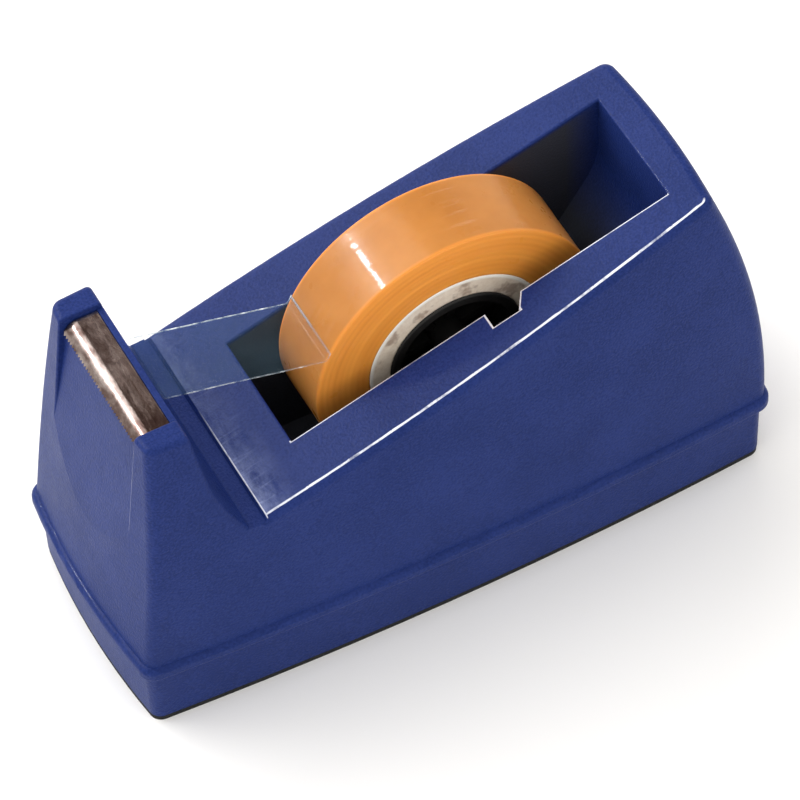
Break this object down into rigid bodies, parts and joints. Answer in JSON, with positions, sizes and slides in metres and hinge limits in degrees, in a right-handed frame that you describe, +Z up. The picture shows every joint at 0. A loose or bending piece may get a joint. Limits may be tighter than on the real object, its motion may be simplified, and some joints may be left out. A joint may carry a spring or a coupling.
{
  "type": "tape dispenser",
  "caption": "Weighted desktop tape dispenser with a sloping deck, an open tape well, a lift-out reel and a toothed cutter on its nose.",
  "frame": {"origin": "centre of the footprint, on the surface that the dispenser stands on", "axes": "+Z up; +X along the length, away from the nose and the cutter; Y along the reel's axle"},
  "size_m": [0.135, 0.0548, 0.0779],
  "materials": {
    "housing_plastic": "satin moulded plastic, royal blue",
    "base_plastic": "satin moulded plastic, royal blue",
    "ballast_iron": "rough cast",
    "foam": "soft closed-cell foam",
    "screw_steel": "zinc plated",
    "pad_foam": "matt black foam rubber",
    "adhesive": "double-sided tape",
    "blade_steel": "bright pressed steel",
    "hub_plastic": "black moulded plastic",
    "core_board": "pale grey-beige wound board",
    "tape_amber": "amber wound tape",
    "tape_film": "clear film with an adhesive side"
  },
  "bodies": {
    "housing": {"upper_housing": "housing_plastic", "base_tray": "base_plastic", "ballast_block": "ballast_iron", "ballast_foam": "foam", "base_screws": "screw_steel", "nonslip_pad": "pad_foam", "pad_adhesive": "adhesive", "cutter_blade": "blade_steel"},
    "tape_end": {"tape_strip": "tape_film"},
    "reel": {"hub": "hub_plastic", "tape_core": "core_board", "tape_roll": "tape_amber"}
  },
  "joints": [
    {"name": "reel_lift", "type": "slide", "parent": "housing", "child": "tape_end", "axis": [0.4226, 0, 0.9063], "range_m": [0, 0.021]},
    {"name": "reel_spin", "type": "hinge", "parent": "tape_end", "child": "reel", "pos_m": [0.0083, 0, 0.0494], "axis": [0, 1, 0], "continuous": true}
  ]
}
